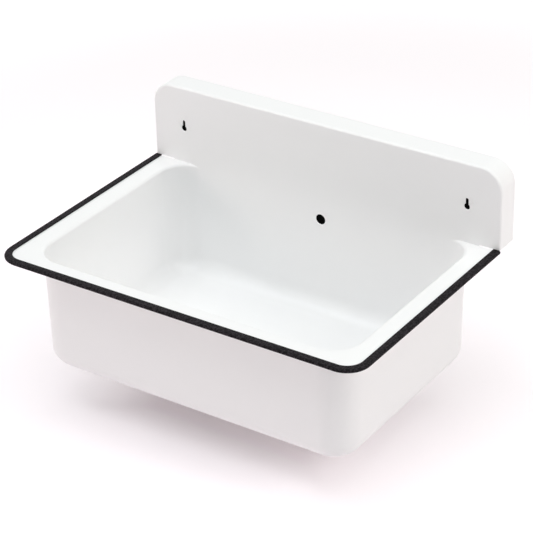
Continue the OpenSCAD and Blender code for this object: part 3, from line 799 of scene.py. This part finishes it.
# The clamping screw is turned from stainless bar, with a slotted countersunk head in the
# strainer's dimple. Its nut is a brass insert in the outlet's boss.
turned = [("Metallic", 1.0), ("Roughness", 0.28), ("Base Color", colour("#c4c5c7"))]
turned_steel, tree, shader = new_material("turned_stainless_bar", turned)
place = add_node(tree, "TexCoord")
centred = add_node(tree, "Mapping", [("Location", from_drain)], [("Vector", place, "Object")])
turning = round_drain + [("Scale", 900.0), ("Distortion", 0.6)]
tool_marks = add_node(tree, "TexWave", turning, [("Vector", centred, "Vector")])
mark_depth = [("Strength", 0.2), ("Distance", 0.00003)]
mark_bump = add_node(tree, "Bump", mark_depth, [("Height", tool_marks, "Fac")])
link_up(tree, shader, [("Normal", mark_bump, "Normal")])
dress("clamp_screw", turned_steel)

brass, tree, shader = new_material("drawn_hexagon_brass", [("Metallic", 1.0), ("Roughness", 0.3)])
place = add_node(tree, "TexCoord")
tarnish = add_node(tree, "TexNoise", [("Scale", 160.0), ("Detail", 4.0)], [("Vector", place, "Object")])
brass_tones = [("data_type", "RGBA"), (6, colour("#c39a4b")), (7, colour("#d8b56a"))]
tarnished = add_node(tree, "Mix", brass_tones, [(0, tarnish, "Fac")])
link_up(tree, shader, [("Base Color", tarnished, 2)])
dress("clamp_nut", brass)


# The studio: white paper just under the waste, a little pink, which its shadow and the enamel above
# it take on. Camera and reflections see it lifted: hardly under the bowl and a little round it, which
# paints a darker shadow under the bowl, and from 0.9 m out so much that it runs white into the room.
# From below it is clear.
paper_level, paper_half = -0.2697, 6.0
under_x, under_y = 0.22, 0.145
paper_mesh = bpy.data.meshes.new("studio_paper")
square = ((-1, -1), (1, -1), (1, 1), (-1, 1))
paper_corners = [(x * paper_half, y * paper_half, paper_level) for x, y in square]
paper_mesh.from_pydata(paper_corners, [], [(0, 1, 2, 3)])
paper = into_scene("studio_paper", paper_mesh)


def seen_or_reflected(tree):
    """Gives the node that is 1 for camera, glossy and transmission rays, and 0 for the rays that
    carry the light from surface to surface."""
    path = add_node(tree, "LightPath")
    first_two = [(0, path, "Is Camera Ray"), (1, path, "Is Glossy Ray")]
    camera_or_glossy = add_node(tree, "Math", [("operation", "MAXIMUM")], first_two)
    third = [(0, camera_or_glossy, "Value"), (1, path, "Is Transmission Ray")]
    return add_node(tree, "Math", [("operation", "MAXIMUM")], third)


dead_matte = [("Roughness", 1.0), ("Specular IOR Level", 0.0)]
paper_look = dead_matte + [("Base Color", colour("#fbf4f8")), ("Emission Color", colour("#ffffff"))]
white_paper, tree, shader = new_material("matte_pink_white_paper", paper_look)
place = add_node(tree, "TexCoord")
stretch, shift = (1 / under_x, 1 / under_y, 0.0), (0.0, from_drain[1] / under_y, 0.0)
to_bowl = [("Scale", stretch), ("Location", shift)]
under_bowl = add_node(tree, "Mapping", to_bowl, [("Vector", place, "Object")])
size_of = add_node(tree, "VectorMath", [("operation", "ABSOLUTE")], [(0, under_bowl, "Vector")])
across_and_along = add_node(tree, "SeparateXYZ", links=[(0, size_of, "Vector")])
both_ways = [(0, across_and_along, "X"), (1, across_and_along, "Y")]
farther = add_node(tree, "Math", [("operation", "MAXIMUM")], both_ways)
soft_step = [("interpolation_type", "SMOOTHSTEP")]
# Painted shadow: the lift is small under the bowl and grows round it, so the floor there reads darker than
# the lamps alone make it.
painted_shadow_edge = soft_step + [("From Min", 0.45), ("From Max", 0.85), ("To Min", 0.05), ("To Max", 0.24)]
painted_shadow_lift = add_node(tree, "MapRange", painted_shadow_edge, [("Value", farther, "Value")])
distance = add_node(tree, "VectorMath", [("operation", "LENGTH")], [(0, place, "Object")])
into_room = soft_step + [("From Min", 0.9), ("From Max", 2.2), ("To Min", 0.0), ("To Max", 0.76)]
far_out = add_node(tree, "MapRange", into_room, [("Value", distance, "Value")])
lifted = add_node(tree, "Math", [("operation", "ADD")], [(0, painted_shadow_lift, "Result"), (1, far_out, "Result")])
seen = seen_or_reflected(tree)
lift = add_node(tree, "Math", [("operation", "MULTIPLY")], [(0, seen, "Value"), (1, lifted, "Value")])
link_up(tree, shader, [("Emission Strength", lift, "Value")])


def clear_where(tree, shader, node, output):
    """Mixes the shader with a clear one, which takes its place where the node's output is 1."""
    clear = add_node(tree, "BsdfTransparent")
    mix = add_node(tree, "MixShader", links=[(0, node, output), (1, shader, "BSDF"), (2, clear, "BSDF")])
    link_up(tree, tree.nodes["Material Output"], [("Surface", mix, "Shader")])


facing = add_node(tree, "NewGeometry")
clear_where(tree, shader, facing, "Backfacing")
paper_mesh.materials.append(white_paper)

# The three holes show black, so a small black card stands close behind each, as painted shade for
# the dark space behind the sheet. It shows only through its hole: from behind it is clear, and it
# holds back no light.
card_look = dead_matte + [("Base Color", colour("#0c0c0c"))]
painted_shade_card, tree, shader = new_material("matte_black_painted_shade", card_look)
facing = add_node(tree, "NewGeometry")
path = add_node(tree, "LightPath")
unseen = add_node(tree, "Math", [("operation", "SUBTRACT"), (0, 1.0)], [(1, path, "Is Camera Ray")])
from_behind_or_unseen = [(0, facing, "Backfacing"), (1, unseen, "Value")]
hidden = add_node(tree, "Math", [("operation", "MAXIMUM")], from_behind_or_unseen)
clear_where(tree, shader, hidden, "Value")
behind_face, key_middle = sheet + 0.3, 3.5
cards = [
    ("left_keyhole", -key_x, behind_face, key_middle, 13.0),
    ("right_keyhole", key_x, behind_face, key_middle, 13.0),
    ("overflow", 0.0, 3.0, overflow_z, 11.5)]
for name, x, y, z, half in cards:
    card_mesh = bpy.data.meshes.new("painted_shade_behind_" + name)
    corners = np.array([(x + half * i, y, z + half * k) for i, k in square])
    card_mesh.from_pydata((corners * 0.001).tolist(), [], [(0, 1, 2, 3)])
    card_mesh.materials.append(painted_shade_card)
    card = into_scene("painted_shade_behind_" + name, card_mesh)


# Six soft boxes stand round the sink: three overhead, two to the right, which keep the right wall
# bright, and one low at the front left, whose light is a little pink.
sink_middle = np.array([0.0, -0.15, -0.1])


def soft_light(name, where, size, power, tint_code):
    """A square area light of that size at a place, turned so that its back lies on the line from
    the sink's middle, and its side is square to that line and to the room's depth."""
    lamp = bpy.data.lights.new(name, "AREA")
    lamp.shape, lamp.size, lamp.energy, lamp.color = "SQUARE", size, power, colour(tint_code)[:3]
    holder = into_scene(name, lamp)
    away = np.array(where, float) - sink_middle
    back = away / np.linalg.norm(away)
    side = np.cross([0.0, 1.0, 0.001], back)
    side /= np.linalg.norm(side)
    matrix = np.eye(4)
    matrix[:3] = np.stack([side, np.cross(back, side), back, where], -1)
    holder.matrix_world = Matrix(matrix.tolist())


soft_light("overhead_softbox", (0.3, -0.4, 2.3), 2.4, 24.8, "#feffff")
soft_light("overhead_left_softbox", (-0.9, -0.6, 2.1), 1.0, 9.1, "#f7fcff")
soft_light("overhead_front_softbox", (0.2, -1.8, 2.2), 1.6, 4.9, "#e8f4ff")
soft_light("right_softbox", (2.5, 0.1, 1.2), 1.4, 19.1, "#fffbf8")
soft_light("rear_right_softbox", (2.4, 0.8, 0.9), 1.2, 7.6, "#fffcf2")
soft_light("front_left_softbox", (-1.7, -2.1, 0.55), 1.2, 17.3, "#fff2ee")

# The room's pale ceiling and upper walls light the sink, and reach evenly into its bowl. Below
# 6 degrees the room gives no light, so that the near corner keeps its darker band.
world = bpy.data.worlds.new("white_room")
bpy.context.scene.world = world
world.use_nodes = True
tree = world.node_tree
tree.nodes.clear()
toward = add_node(tree, "TexCoord")
direction = add_node(tree, "SeparateXYZ", links=[(0, toward, "Generated")])
ceiling = soft_step + [("From Min", 0.1), ("From Max", 0.5), ("To Min", 0.0), ("To Max", 0.378)]
upper_room = add_node(tree, "MapRange", ceiling, [("Value", direction, "Z")])
room = add_node(tree, "Background", [("Color", colour("#fbfffa"))], [("Strength", upper_room, "Result")])
white = add_node(tree, "Background", [("Color", colour("#ffffff")), ("Strength", 1.0)])
seen = seen_or_reflected(tree)
room_or_white = [(0, seen, "Value"), (1, room, "Background"), (2, white, "Background")]
blend = add_node(tree, "MixShader", links=room_or_white)
add_node(tree, "OutputWorld", links=[("Surface", blend, "Shader")])

# The camera stands to the right of the sink and above it, where the photograph was taken from. Its
# place and turn come from a fit to the edges of the flange, the mouth and the splashback.
azimuth, elevation, roll = 0.599649, 0.511414, -0.0238165
focal_pixels, photo_pixels = 2163.465, 533
stand = np.array([1.2974, -2.0205, 1.2061])
level = math.cos(elevation)
back = np.array([math.sin(azimuth) * level, -math.cos(azimuth) * level, math.sin(elevation)])
right = np.cross([0, 0, 1.0], back)
right /= np.linalg.norm(right)
up = np.cross(back, right)
turned_right = math.cos(roll) * right + math.sin(roll) * up
turned_up = -math.sin(roll) * right + math.cos(roll) * up
lens = bpy.data.cameras.new("photo_camera")
lens.sensor_width, lens.lens, lens.clip_end = 36.0, 36.0 * focal_pixels / photo_pixels, 50.0
camera = into_scene("photo_camera", lens)
view = np.eye(4)
view[:3] = np.stack([turned_right, turned_up, back, stand], -1)
camera.matrix_world = Matrix(view.tolist())
bpy.context.scene.camera = camera
bpy.context.scene.view_settings.view_transform = "Standard"
